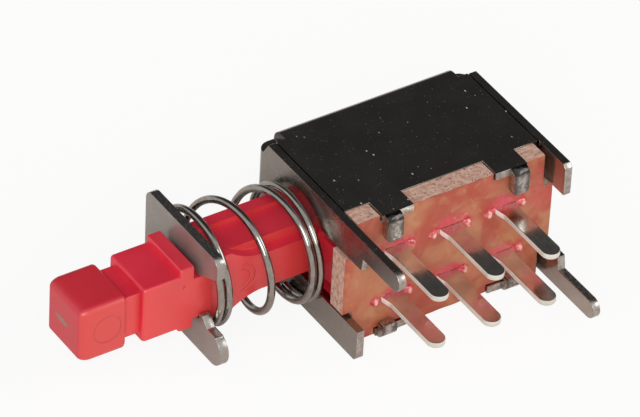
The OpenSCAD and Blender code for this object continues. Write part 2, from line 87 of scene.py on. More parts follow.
# Terminals and the resin over their slots
PIN_MIDDLE = (-0.05, AXIS_Z - 0.15)
PIN_PITCH = 3
PIN_ROW = 1.35
PIN_PLACES = [(x + PIN_MIDDLE[0], PIN_MIDDLE[1] + z)
              for z in (PIN_ROW, -PIN_ROW) for x in (-PIN_PITCH, 0, PIN_PITCH)]
PIN_EDGE_RADIUS = 0.05
PIN_WOBBLE = 0.005
SLOT_HALF = 0.95
RESIN_END = 0.24
RESIN_BEAD = 0.16

# Plunger: lowest and highest corner of each section, with the rounding at each
SHAFT_FRONT_X = -11.0
SHAFT_EDGE_RADIUS = 0.06
SECTION_OVERLAP = 0.1
PLUNGER_SECTIONS = [
    # Core that joins the groove to the shaft
    ((-12.2, -0.7, 2.6), (-10.0, 0.7, 4.4), (0.05, 0.05, 0.05), (0.05, 0.05, 0.05)),
    # Groove for the retainer
    ((-12.2, -1.5, 2.35), (-11.0, 1.0, 4.65), (0.05, 0.05, 0.05), (0.05, 0.05, 0.05)),
    # Rim behind the block
    ((-12.7, -1.5, 1.84), (-11.95, 1.5, 5.38), (0.10, 0.12, 0.06), (0.08, 0.12, 0.12)),
    # Block
    ((-14.6, -1.5, 2.0), (-12.2, 1.5, 5.0), (0.20, 0.17, 0.12), (0.05, 0.17, 0.15)),
    # Neck
    ((-15.8, -1.15, 2.35), (-14.2, 1.15, 4.65), (0.05, 0.07, 0.07), (0.05, 0.07, 0.07)),
    # Head
    ((-17.85, -1.5, 2.0), (-15.4, 1.5, 5.0), (0.62, 0.36, 0.42), (0.22, 0.36, 0.34)),
]
RETAINER_EDGE_RADIUS = 0.06
CLIP_EDGE_RADIUS = 0.02

# Marks of the mould on the plunger
HEAD_RING, HEAD_RING_RADIUS = (-16.43, -1.5, 3.57), 0.70
SHAFT_ARCS, SHAFT_ARC_RADII = (-9.35, -1.35, 3.55), (0.74, 0.46)
BLOCK_SPOT = (-12.45, -1.5, 4.33)
GATE_MARK = (-17.85, 0.12, 3.54)

# Return spring
SPRING_RADIUS = 2.74
WIRE = 0.37
WIRE_END_RADIUS = 0.045
SPRING_FRONT_X = -11.0188
SPRING_REAR_X = -5.855
FRONT_TURNS, ACTIVE_TURNS, REAR_TURNS = 1.2, 1.75, 1.4
TURNS = FRONT_TURNS + ACTIVE_TURNS + REAR_TURNS
STEPS_PER_TURN = 72
CLOSED_PITCH = 0.40
START_ANGLE = 150.0
FRONT_MIDDLE = (0.5, 3.52)
REAR_MIDDLE = (0.07, 3.29)
TURN_LEAN = 0.25

# Angles, in degrees
FLAT_ANGLE = 0.6
SHARP_ANGLE = 28
SMOOTH_ANGLE = 38

# Distances below which points are one point
CAD_MERGE = 0.0008
MERGE = 0.0005
FINE_MERGE = 0.0004


# ---------------------------------------------------------------- shader helpers
def cleared_tree(owner):
    """The empty node tree of a material or a world"""
    owner.use_nodes = True
    owner.node_tree.nodes.clear()
    return owner.node_tree.nodes, owner.node_tree.links


class Shader:
    """A node material with one Principled shader, worked in millimetres."""

    def __init__(self, name):
        self.mat = bpy.data.materials.new(name)
        self.nodes, self.links = cleared_tree(self.mat)
        out = self.nodes.new("ShaderNodeOutputMaterial")
        self.bsdf = self.nodes.new("ShaderNodeBsdfPrincipled")
        self.links.new(self.bsdf.outputs[0], out.inputs[0])
        coords = self.nodes.new("ShaderNodeTexCoord")
        self.place = self.scaled(coords.outputs["Object"], (TO_MM, TO_MM, TO_MM))

    def put(self, socket, value):
        """Links a socket, or sets its constant."""
        if isinstance(value, bpy.types.NodeSocket):
            self.links.new(value, socket)
        elif isinstance(value, tuple) and len(value) == 3 and socket.type == "RGBA":
            socket.default_value = (*value, 1)
        else:
            socket.default_value = value

    def set(self, **values):
        """Inputs of the Principled shader, named as in base_color or specular_ior_level"""
        for name, value in values.items():
            title = name.replace("_", " ").title().replace("Ior", "IOR")
            self.put(self.bsdf.inputs[title], value)

    def scaled(self, vector, scale, shift=(0, 0, 0)):
        node = self.nodes.new("ShaderNodeMapping")
        self.links.new(vector, node.inputs["Vector"])
        node.inputs["Scale"].default_value = scale
        node.inputs["Location"].default_value = shift
        return node.outputs[0]

    def noise(self, scale, detail=3.0, rough=0.5, stretch=(1, 1, 1), warp=0.0, shift=(0, 0, 0)):
        node = self.nodes.new("ShaderNodeTexNoise")
        self.links.new(self.scaled(self.place, stretch, shift), node.inputs["Vector"])
        node.inputs["Scale"].default_value = scale
        node.inputs["Detail"].default_value = detail
        node.inputs["Roughness"].default_value = rough
        node.inputs["Distortion"].default_value = warp
        return node.outputs["Fac"]

    def cells(self, scale, stretch=(1, 1, 1)):
        """Distance to the nearest of many scattered points"""
        node = self.nodes.new("ShaderNodeTexVoronoi")
        node.feature = "F1"
        self.links.new(self.scaled(self.place, stretch), node.inputs["Vector"])
        node.inputs["Scale"].default_value = scale
        return node.outputs["Distance"]

    def steps(self, factor, low, high, a=0.0, b=1.0):
        """a below low, b above high, smooth between."""
        node = self.nodes.new("ShaderNodeMapRange")
        node.interpolation_type = "SMOOTHSTEP"
        self.put(node.inputs["Value"], factor)
        node.inputs["From Min"].default_value = low
        node.inputs["From Max"].default_value = high
        node.inputs["To Min"].default_value = a
        node.inputs["To Max"].default_value = b
        return node.outputs[0]

    def math(self, kind, a, b=0.0, clamp=False):
        node = self.nodes.new("ShaderNodeMath")
        node.operation = kind
        node.use_clamp = clamp
        self.put(node.inputs[0], a)
        self.put(node.inputs[1], b)
        return node.outputs[0]

    def product(self, *factors):
        whole = factors[0]
        for factor in factors[1:]:
            whole = self.math("MULTIPLY", whole, factor)
        return whole

    def highest(self, values):
        whole = values[0]
        for value in values[1:]:
            whole = self.math("MAXIMUM", whole, value)
        return whole

    def blend(self, factor, a, b):
        """Colour a where the factor is 0 and colour b where it is 1"""
        node = self.nodes.new("ShaderNodeMix")
        node.data_type = "RGBA"
        self.put(node.inputs["Factor"], factor)
        self.put(node.inputs[6], a)
        self.put(node.inputs[7], b)
        return node.outputs[2]

    def bump(self, height, distance, strength=1.0, under=None):
        """A normal from a height, with distance in millimetres"""
        node = self.nodes.new("ShaderNodeBump")
        self.put(node.inputs["Height"], height)
        node.inputs["Distance"].default_value = distance * MM
        node.inputs["Strength"].default_value = strength
        if under is not None:
            self.links.new(under, node.inputs["Normal"])
        return node.outputs[0]

    def distance(self, middle, scale=(1, 1, 1)):
        """Distance in millimetres from a point, stretched by scale"""
        node = self.nodes.new("ShaderNodeVectorMath")
        node.operation = "DISTANCE"
        shift = tuple(-m * s for m, s in zip(middle, scale))
        self.links.new(self.scaled(self.place, scale, shift), node.inputs[0])
        return node.outputs["Value"]

    def band(self, value, middle, half):
        """1 on the line where value equals middle, 0 beyond half on either side"""
        off = self.math("ABSOLUTE", self.math("SUBTRACT", value, middle))
        return self.steps(off, 0.0, half, 1.0, 0.0)

    def axis(self, name):
        """Place along one axis, in millimetres"""
        node = self.nodes.new("ShaderNodeSeparateXYZ")
        self.links.new(self.place, node.inputs[0])
        return node.outputs[name]

    def facing(self, axis):
        """Part of the surface's normal along one axis"""
        geometry = self.nodes.new("ShaderNodeNewGeometry")
        node = self.nodes.new("ShaderNodeSeparateXYZ")
        self.links.new(geometry.outputs["Normal"], node.inputs[0])
        return node.outputs[axis]


def darker(colour, share):
    return tuple(c * share for c in colour)


# ---------------------------------------------------------------- materials
# Dust: density, size of a speck, brightness and stretch of each layer
DUST_LAYERS = [
    (1.1, 0.09, 1.0, (1.6, 1, 1)),
    (2.3, 0.10, 0.6, (1, 1, 1)),
    (4.6, 0.13, 0.4, (1, 2, 1)),
    (3.1, 0.10, 0.5, (2, 1, 1)),
]
DUST_COLOUR = (0.50, 0.48, 0.46)


def dust_on_top(s):
    """Scattered pale specks on what faces up"""
    layers = []
    for density, size, bright, stretch in DUST_LAYERS:
        spots = s.steps(s.cells(density, stretch), size * 0.4, size, bright, 0.0)
        drift = s.noise(0.8 * density, 2, 0.5, shift=(8 * density, 2, 5))
        layers.append(s.product(spots, s.steps(drift, 0.46, 0.56)))
    return s.product(s.highest(layers), s.steps(s.facing("Z"), 0.6, 0.9))


def plated_steel(name, base, dark, specks=True, roughness=(0.1, 0.2), plating=1.0):
    """Bright nickel plate, clouded and finely scratched"""
    s = Shader(name)
    cloud = s.noise(0.55, 4, 0.6)
    fine = s.noise(7.0, 5, 0.6)
    scratch = s.noise(9.0, 2, 0.5, stretch=(0.12, 2.5, 2.5), shift=(3, 1, 2))
    cross = s.noise(8.0, 2, 0.5, stretch=(2.5, 0.15, 2.5), shift=(1, 5, 2))
    tone = s.blend(s.steps(cloud, 0.35, 0.65), dark, base)
    colour = s.blend(s.steps(fine, 0.3, 0.72, 0.0, 0.35), tone, darker(base, 0.72))
    rough = s.math("ADD", s.steps(cloud, 0.3, 0.7, *roughness), s.steps(fine, 0.55, 0.8, 0.0, 0.08))
    metal = plating
    if specks:
        dust = dust_on_top(s)
        colour = s.blend(dust, colour, DUST_COLOUR)
        metal = s.math("SUBTRACT", plating, dust)
        rough = s.math("ADD", rough, s.product(dust, 0.6), clamp=True)
    s.set(base_color=colour, metallic=metal, roughness=rough)
    lines = s.math("ADD", s.steps(scratch, 0.62, 0.72), s.steps(cross, 0.64, 0.74))
    low = s.bump(s.noise(0.9, 2, 0.5), 0.012, 0.5)
    s.set(normal=s.bump(s.math("ADD", s.product(lines, 0.6), fine), 0.0016, 0.5, low))
    return s.mat


def cut_edge(name, base, contrast=0.72, depth=0.01):
    """Sheared edge of the sheet: bright burnished part and a rougher torn part"""
    s = Shader(name)
    torn = s.noise(4.0, 3, 0.55)
    streak = s.noise(14.0, 3, 0.6, stretch=(1, 0.6, 0.6), shift=(2, 2, 7))
    colour = s.blend(s.steps(torn, 0.38, 0.62), darker(base, contrast), base)
    s.set(base_color=colour, metallic=1.0, roughness=s.steps(streak, 0.3, 0.7, 0.2, 0.4))
    s.set(normal=s.bump(s.math("ADD", torn, s.product(streak, 0.5)), depth, 0.6))
    return s.mat


def hammered(name, base):
    """Plate pressed over by the crimping tool: bright dents, with painted shade at its sides and on the
    bend, where it faces up
    """
    # The next two colours are painted shade: for the crimp's sides and for the faces over the bend
    side_painted_shade = (0.10, 0.092, 0.086)
    bend_painted_shade = (0.05, 0.046, 0.043)
    s = Shader(name)
    dents = s.noise(1.3, 2, 0.5, warp=0.6, shift=(4, 4, 4))
    pits = s.noise(4.5, 3, 0.6, warp=0.8, shift=(1, 7, 4))
    colour = s.blend(s.steps(pits, 0.4, 0.6), darker(base, 0.45), base)
    # Painted shade: darker away from the middle of the crimp, towards its sides
    from_middle = s.math("SUBTRACT", s.math("ABSOLUTE", s.axis("X")), CRIMP_X)
    from_middle = s.math("ABSOLUTE", from_middle)
    colour = s.blend(s.steps(from_middle, 0.08, 0.36, 0.0, 0.8), colour, side_painted_shade)
    # Painted shade on the faces that look up, over the bend
    over = s.steps(s.facing("Z"), 0.12, 0.5)
    colour = s.blend(s.product(over, 0.88), colour, bend_painted_shade)
    s.set(base_color=colour, metallic=1.0, roughness=s.steps(pits, 0.3, 0.75, 0.08, 0.2))
    s.set(normal=s.bump(pits, 0.016, 1.0, s.bump(dents, 0.1, 1.0)))
    return s.mat


def resin_stains(s, patch):
    """Where red resin has soaked into the board: round each slot, and at its upper rear corner"""
    stains = []
    for x, z in PIN_PLACES:
        middle = (x + 0.1, BOARD_FRONT_Y, z + (0.25 if z > AXIS_Z else 0.05))
        near = s.math("ADD", s.distance(middle, (0.62, 0.4, 1.25)), s.product(patch, 0.7))
        stains.append(s.steps(near, 0.7, 1.2, 1.0, 0.0))
    corner = s.distance((4.8, BOARD_FRONT_Y, 4.9), (1.0, 0.4, 0.55))
    corner = s.math("ADD", corner, s.product(patch, 0.8))
    stains.append(s.steps(corner, 0.6, 1.6, 0.55, 0.0))
    streaks = s.steps(s.noise(1.6, 3, 0.6, warp=1.0), 0.36, 0.6, 0.45, 1.0)
    return s.product(s.highest(stains), streaks)


def board_face():
    """Phenolic laminate, clouded and stained by the resin"""
    brown, tan = (0.40, 0.064, 0.034), (0.46, 0.165, 0.076)
    patch_tan, fibre_red = (0.51, 0.25, 0.12), (0.42, 0.10, 0.06)
    resin, bare = (0.56, 0.022, 0.05), (0.72, 0.42, 0.30)
    s = Shader("laminate_face")
    cloud = s.noise(0.42, 4, 0.6, warp=0.6)
    patch = s.noise(1.1, 3, 0.55, warp=0.8, shift=(7, 3, 2))
    fibre = s.noise(5.0, 4, 0.7, stretch=(0.35, 1, 2.2))
    pale = s.noise(2.2, 4, 0.65, warp=1.2, shift=(1, 1, 9))
    wet = resin_stains(s, patch)
    colour = s.blend(s.steps(cloud, 0.36, 0.64), brown, tan)
    colour = s.blend(s.steps(patch, 0.5, 0.75, 0.0, 0.6), colour, patch_tan)
    colour = s.blend(s.steps(fibre, 0.45, 0.8, 0.0, 0.14), colour, fibre_red)
    colour = s.blend(wet, colour, resin)
    colour = s.blend(s.steps(pale, 0.66, 0.78, 0.0, 0.55), colour, bare)
    rough = s.math("SUBTRACT", s.steps(fibre, 0.3, 0.7, 0.34, 0.5), s.product(wet, 0.2))
    s.set(base_color=colour, roughness=rough)
    s.set(specular_ior_level=0.5, coat_weight=0.12, coat_roughness=0.12)
    s.set(normal=s.bump(fibre, 0.004, 0.5, s.bump(cloud, 0.05, 0.4)))
    return s.mat


def board_edge():
    """Punched edge of the laminate: pale torn fibres with dark specks"""
    shaded, pale, palest = (0.42, 0.20, 0.14), (0.64, 0.41, 0.32), (0.80, 0.62, 0.52)
    speck = (0.055, 0.03, 0.025)
    s = Shader("laminate_edge")
    torn = s.noise(3.2, 5, 0.7, stretch=(1, 1.8, 1))
    fine = s.noise(11.0, 4, 0.7, stretch=(1, 2.4, 1), shift=(5, 2, 1))
    colour = s.blend(s.steps(torn, 0.35, 0.62), shaded, pale)
    colour = s.blend(s.steps(fine, 0.5, 0.75), colour, palest)
    pits = s.steps(s.cells(4.4, (1, 1.3, 1)), 0.12, 0.26, 0.9, 0.0)
    burnt = s.steps(s.noise(2.6, 5, 0.75, warp=1.2, shift=(9, 9, 2)), 0.62, 0.72)
    where = s.steps(s.noise(2.1, 2, 0.5, shift=(2, 6, 3)), 0.40, 0.52)
    pits = s.product(s.highest([pits, s.product(burnt, 0.8)]), where)
    s.set(base_color=s.blend(pits, colour, speck), roughness=0.72)
    height = s.math("SUBTRACT", s.math("ADD", torn, s.product(fine, 0.5)), pits)
    s.set(normal=s.bump(height, 0.03, 0.6))
    return s.mat


def tinned(name, base, roughness, metallic=1.0, root_highlight=None):
    """Tin plate; in the bend next to the board, the last colour given is a painted highlight that takes
    the place of the metal
    """
    s = Shader(name)
    cloud = s.noise(1.0, 3, 0.6)
    fine = s.noise(9.0, 4, 0.6, stretch=(1.2, 0.25, 1.2))
    colour = s.blend(s.steps(cloud, 0.3, 0.7), darker(base, 0.82), base)
    if root_highlight is not None:
        # Painted highlight: bright and not metallic near the board
        near = s.steps(s.axis("Y"), -4.80, -4.60, 0.0, 0.9)
        colour = s.blend(near, colour, root_highlight)
        metallic = s.math("MULTIPLY", s.math("SUBTRACT", 1.0, near), metallic)
    s.set(base_color=colour, metallic=metallic, roughness=s.steps(fine, 0.3, 0.7, *roughness))
    s.set(normal=s.bump(fine, 0.003, 0.5, s.bump(cloud, 0.02, 0.4)))
    return s.mat


def red_resin():
    """Clear red resin, with painted pale highlights where it stands proud of the board in a bead"""
    deep, thin, bead_painted_highlight = (0.46, 0.012, 0.035), (0.72, 0.13, 0.13), (0.88, 0.55, 0.46)
    s = Shader("red_resin")
    cloud = s.noise(3.0, 3, 0.6, warp=0.5)
    # Painted highlight: pale patches on the tallest part of each bead
    proud = s.steps(s.axis("Y"), -4.33, -4.25, 1.0, 0.0)
    bead_highlight_mask = s.product(proud, s.steps(s.noise(4.0, 2, 0.5, shift=(3, 3, 3)), 0.34, 0.56), 0.8)
    colour = s.blend(s.steps(cloud, 0.35, 0.6), deep, thin)
    s.set(base_color=s.blend(bead_highlight_mask, colour, bead_painted_highlight), roughness=0.13)
    s.set(coat_weight=0.6, coat_roughness=0.06)
    s.set(subsurface_weight=0.15, subsurface_radius=(0.0004, 0.0001, 0.0001))
    s.set(normal=s.bump(cloud, 0.03, 0.5))
    return s.mat


def red_plastic():
    """Satin red moulding with the marks of its mould, a painted warm sheen on the faces towards -Y, and
    painted shade round the lower part of the head's ring
    """
    deep, plain, bright = (0.68, 0.019, 0.045), (0.76, 0.026, 0.056), (0.76, 0.04, 0.062)
    # Of the next line's colours, the second is a painted warm sheen for the faces towards -Y and the
    # third is painted shade round the lower part of the head's ring
    head, flank_painted_sheen, ring_painted_shade = (0.57, 0.021, 0.034), (0.68, 0.064, 0.042), (0.42, 0.012, 0.02)
    gate_brown = (0.30, 0.22, 0.16)
    on_side = (1, 0.2, 1)
    s = Shader("red_moulding")
    cloud = s.noise(0.5, 3, 0.5)
    grain = s.noise(16.0, 4, 0.6)
    flow = s.noise(1.2, 3, 0.55, stretch=(0.4, 1, 1), warp=0.7, shift=(2, 8, 4))
    side = s.steps(s.facing("Y"), -0.7, -0.5, 1.0, 0.0)
    colour = s.blend(s.steps(cloud, 0.3, 0.7), deep, plain)
    colour = s.blend(s.steps(flow, 0.56, 0.8, 0.0, 0.4), colour, bright)
    colour = s.blend(s.steps(s.axis("X"), -15.7, -15.0, 0.8, 0.0), colour, head)
    # Painted sheen: the faces towards -Y get a warmer, more orange colour for the light they catch
    colour = s.blend(s.product(side, 0.55), colour, flank_painted_sheen)

    ring = s.distance(HEAD_RING, on_side)
    groove = s.band(ring, HEAD_RING_RADIUS, 0.07)
    arcs = s.distance(SHAFT_ARCS, on_side)
    arcs = s.highest([s.band(arcs, SHAFT_ARC_RADII[0], 0.06), s.band(arcs, SHAFT_ARC_RADII[1], 0.05)])
    arcs = s.product(arcs, s.steps(s.axis("X"), -9.4, -9.2))
    spot = s.steps(s.distance(BLOCK_SPOT), 0.05, 0.13, 1.0, 0.0)
    marks = s.product(s.highest([groove, arcs, spot]), side)

    # Painted shade: a darker band just outside the head's ring, strongest on its lower part
    rim = s.product(s.steps(ring, 0.64, 0.72), s.steps(ring, 0.72, 0.8, 1.0, 0.0))
    ring_shade_mask = s.product(rim, side, s.steps(s.axis("Z"), 3.1, 3.4, 0.35, 0.06))
    colour = s.blend(ring_shade_mask, colour, ring_painted_shade)
    gate = s.math("ADD", s.distance(GATE_MARK, (0.3, 0.62, 1.9)), s.product(s.noise(7.0, 3, 0.6), 0.35))
    gate = s.steps(gate, 0.42, 0.62, 1.0, 0.0)
    colour = s.blend(s.product(gate, 0.7), colour, gate_brown)
    rough = s.math("ADD", s.steps(cloud, 0.3, 0.7, 0.34, 0.42), s.product(gate, 0.3))
    s.set(base_color=colour, roughness=rough, specular_ior_level=0.85)
    s.set(subsurface_weight=0.04, subsurface_radius=(0.0005, 0.0001, 0.0001))
    low = s.bump(flow, 0.02, 0.35)
    cut = s.bump(s.math("SUBTRACT", 1.0, s.highest([marks, gate])), 0.035, 0.8, low)
    s.set(normal=s.bump(grain, 0.0022, 0.5, cut))
    return s.mat


def spring_wire():
    """Polished wire with faint drawing streaks"""
    dark, light = (0.31, 0.29, 0.265), (0.42, 0.39, 0.36)
    s = Shader("spring_wire")
    streak = s.noise(5.0, 3, 0.6, stretch=(2.0, 0.6, 0.6))
    colour = s.blend(s.steps(streak, 0.32, 0.7), dark, light)
    s.set(base_color=colour, metallic=1.0, roughness=s.steps(streak, 0.3, 0.7, 0.07, 0.12))
    s.set(normal=s.bump(streak, 0.0015, 0.4))
    return s.mat


def clip_brass():
    dark, light = (0.60, 0.42, 0.17), (0.74, 0.55, 0.25)
    s = Shader("clip_brass")
    fine = s.noise(8.0, 4, 0.6, stretch=(1.5, 0.3, 0.3))
    colour = s.blend(s.steps(fine, 0.3, 0.7), dark, light)
    s.set(base_color=colour, metallic=1.0, roughness=s.steps(fine, 0.3, 0.7, 0.2, 0.34))
    s.set(normal=s.bump(fine, 0.003, 0.5))
    return s.mat


# Nickel plate of the folded sheet
NICKEL, NICKEL_DARK = (0.37, 0.34, 0.31), (0.32, 0.295, 0.268)
STEEL = plated_steel("nickel_plate", NICKEL, NICKEL_DARK)
EDGE = cut_edge("sheared_edge", (0.54, 0.49, 0.45))
FACE = board_face()
PUNCHED = board_edge()
# Painted light: a brighter copy of the nickel for the inside face of the rear plate, standing in for
# what it reflects
REAR_INNER_LIT = plated_steel("nickel_plate_inner_painted_light", (0.55, 0.50, 0.45), (0.48, 0.44, 0.40),
                          specks=False)
FRONT_OUTER = plated_steel("nickel_plate_front", NICKEL, NICKEL_DARK, specks=False,
                           roughness=(0.2, 0.3))
# Near-black: painted shade for the faces inside the corner reliefs
RELIEF_SHADE = cut_edge("corner_relief", (0.08, 0.075, 0.07))
CRIMP = hammered("pressed_plate", (0.56, 0.52, 0.48))
TIN = tinned("tin_plate", (0.80, 0.76, 0.70), (0.11, 0.2))
# Its last colour is a painted highlight at the blades' roots
TIN_EDGE = tinned("tin_plate_edge", (0.80, 0.76, 0.68), (0.36, 0.5), 0.35, (0.95, 0.91, 0.86))
RESIN = red_resin()
RED = red_plastic()
RETAINER = plated_steel("retainer_plate", (0.41, 0.385, 0.355), (0.35, 0.33, 0.305),
                        specks=False, roughness=(0.34, 0.46), plating=0.7)
RETAINER_EDGE = cut_edge("retainer_edge", (0.44, 0.41, 0.38), contrast=0.95, depth=0.0005)
SPRING = spring_wire()
BRASS = clip_brass()


# ---------------------------------------------------------------- mesh helpers
def solid_from_node(name):
    """The CAD node's own surface in millimetres, with its flat faces whole again"""
    bm = bmesh.new()
    bm.from_mesh(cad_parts[name].data)
    bmesh.ops.scale(bm, vec=(TO_MM, TO_MM, TO_MM), verts=bm.verts)
    bmesh.ops.remove_doubles(bm, verts=bm.verts, dist=CAD_MERGE)
    bmesh.ops.dissolve_limit(bm, angle_limit=math.radians(FLAT_ANGLE), verts=bm.verts,
                             edges=bm.edges, delimit={"NORMAL"})
    bmesh.ops.recalc_face_normals(bm, faces=bm.faces)
    return bm


def joined_up(bm, distance=MERGE):
    """Closes a surface that was built patch by patch, and turns its faces outwards."""
    bmesh.ops.remove_doubles(bm, verts=bm.verts, dist=distance)
    bmesh.ops.recalc_face_normals(bm, faces=bm.faces)
    return bm


def span(edge, axis):
    """Lowest and highest place of an edge along one axis: 0 for X, 1 for Y, 2 for Z"""
    return sorted(v.co[axis] for v in edge.verts)


def bevel(bm, edges, width, segments, clamp=True):
    bmesh.ops.bevel(bm, geom=edges, offset=width, offset_type="OFFSET", segments=segments,
                    profile=0.5, affect="EDGES", clamp_overlap=clamp)


def round_edges(bm, width, segments=2, keep=None, clamp=True):
    """Rounds the sharp edges, or those of them that keep accepts."""
    sharp = [e for e in bm.edges
             if len(e.link_faces) == 2 and e.calc_face_angle(0) > math.radians(SHARP_ANGLE)]
    bevel(bm, [e for e in sharp if keep is None or keep(e)], width, segments, clamp)


def wobble(bm, amount, scale, seed, only):
    """Moves the points that only accepts by a smooth noise, so that edges aren't ruled lines."""
    for v in bm.verts:
        if only(v):
            v.co += Vector(noise.noise_vector(v.co * scale + Vector((seed, seed, seed)))) * amount


def finish_piece(bm, name, body, node, materials, pick=None):
    """Turns a mesh in millimetres into a piece that rides on a body and stands for a CAD node.

    pick chooses one of the materials for a face; without it, all faces have the first.
    """
    bmesh.ops.scale(bm, vec=(MM, MM, MM), verts=bm.verts)
    for f in bm.faces:
        f.smooth = True
        if pick is not None:
            f.material_index = materials.index(pick(f))
    for e in bm.edges:
        e.smooth = len(e.link_faces) != 2 or e.calc_face_angle(0) < math.radians(SMOOTH_ANGLE)
    mesh = bpy.data.meshes.new(name)
    bm.to_mesh(mesh)
    bm.free()
    for material in materials:
        mesh.materials.append(material)
    piece = bpy.data.objects.new(name, mesh)
    bpy.context.scene.collection.objects.link(piece)
    even = piece.modifiers.new("even_shading", "WEIGHTED_NORMAL")
    even.keep_sharp = True
    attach(piece, body)
    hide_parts(node)
    return piece


# ---------------------------------------------------------------- pieces on the frame
def is_tab_tip(edge):
    """The edges through the sheet at the free corners of the crimped tabs"""
    x, y, z = (span(edge, axis) for axis in range(3))
    on_tab = y[1] < TAB_ROOT_Y and max(abs(x[0]), abs(x[1])) < LEG_X
    return on_tab and y[1] - y[0] > SHEET_LEAST and TAB_TIP_Z[0] < z[0] < TAB_TIP_Z[1]


def frame_finish(face):
    """The finish of a face of the folded frame, from its place and direction"""
    c, n = face.calc_center_median() * TO_MM, face.normal
    # Painted light on the inside face of the rear plate
    if c.x > LEG_X and c.y > SHORT_LEG_Y and n.x < -0.6:
        return REAR_INNER_LIT
    if c.x < -END_PLATE_X and n.x < -0.6:
        return FRONT_OUTER
    in_relief = c.y > RELIEF_Y and abs(c.x) < END_PLATE_X and abs(c.z - AXIS_Z) > RELIEF_HEIGHT
    # Painted shade: faces across the corner reliefs get a near-black edge finish
    if in_relief and abs(n.x) > 0.6:
        return RELIEF_SHADE
    if c.y > TAB_ROOT_Y:
        return STEEL
    if abs(c.x) > LEG_X:
        return EDGE if abs(n.x) < 0.5 else STEEL
    inward = -n.z if c.z > AXIS_Z else n.z
    cut = abs(n.x) > 0.8 or inward > 0.8 or abs(abs(c.x) - CRIMP_X) > CRIMP_REACH
    return EDGE if cut else CRIMP


def make_frame():
    bm = solid_from_node("frame")
    bevel(bm, [e for e in bm.edges if is_tab_tip(e)], TAB_TIP_RADIUS, 5)
    round_edges(bm, FRAME_EDGE_RADIUS, clamp=False)
    finish_piece(bm, "folded_frame", "frame", "frame",
                 [STEEL, EDGE, CRIMP, REAR_INNER_LIT, RELIEF_SHADE, FRONT_OUTER], frame_finish)


def make_board():
    """The laminate, with a rim that isn't a ruled line"""
    bm = solid_from_node("terminal_board")
    rim = [e for e in bm.edges
           if e.calc_length() > RIM_SHORTEST and span(e, 1)[1] - span(e, 1)[0] < 1e-4
           and e.calc_face_angle(0) > 1.0]
    for e in rim:
        bmesh.ops.subdivide_edges(bm, edges=[e], cuts=int(e.calc_length() / RIM_STEP))
    for v in bm.verts:
        off_slots = min(abs(v.co.z - z) for _, z in PIN_PLACES) > SLOT_CLEAR
        if off_slots or abs(v.co.x) > TONGUE_X:
            n = Vector(noise.noise_vector(v.co * BOARD_RAGGED_SCALE))
            worn = BOARD_TOP_WORN if v.co.z > BOARD_TOP_Z else 0
            v.co.x += n.x * BOARD_RAGGED[0]
            v.co.z += n.z * BOARD_RAGGED[1] - worn
    finish_piece(bm, "laminate_board", "frame", "terminal_board", [FACE, PUNCHED],
                 lambda f: FACE if abs(f.normal.y) > 0.8 else PUNCHED)


def make_terminal(i):
    """One blade: only the length in front of the board has soft edges"""
    bm = solid_from_node(f"terminal_{i}")
    round_edges(bm, PIN_EDGE_RADIUS, keep=lambda e: span(e, 1)[1] < BOARD_FRONT_Y + 0.01)
    wobble(bm, PIN_WOBBLE, 0.9, i * 3.1, lambda v: v.co.y < BOARD_FRONT_Y - 0.3)
    finish_piece(bm, f"blade_{i}", "frame", f"terminal_{i}", [TIN, TIN_EDGE],
                 lambda f: TIN if abs(f.normal.z) > 0.6 else TIN_EDGE)


def make_resin(i):
    """A low mound of resin along the slot, with a bead at each end"""
    x0, z0 = PIN_PLACES[i - 1]
    across, along = 14, 56
    half = SLOT_HALF + RESIN_END
    bm = bmesh.new()
    rows = []
    for a in range(along + 1):
        u = -half + 2 * half * a / along
        bead = math.exp(-((abs(u) - SLOT_HALF + 0.02) / RESIN_BEAD) ** 2)
        lump = noise.noise(Vector((u * 3.1, i * 5.3, 0.4)))
        end = math.sqrt(max(0.0, 1 - (max(0, abs(u) - SLOT_HALF) / RESIN_END) ** 2))
        tall = (0.05 + 0.17 * bead + 0.02 * lump) * end
        wide = (0.10 + 0.12 * bead + 0.03 * lump + 0.05) * end
        drift = 0.03 * noise.noise(Vector((u * 1.7, i * 2.9, 3.0)))
        row = []
        for b in range(across + 1):
            t = math.pi * b / across
            row.append(bm.verts.new((x0 + u, BOARD_FRONT_Y + 0.01 - tall * math.sin(t),
                                     z0 + drift + wide * math.cos(t))))
        rows.append(row)
    for near, far in zip(rows, rows[1:]):
        for b in range(across):
            bm.faces.new((near[b], far[b], far[b + 1], near[b + 1]))
    finish_piece(joined_up(bm), f"resin_line_{i}", "frame", f"resin_seal_{i}", [RESIN])


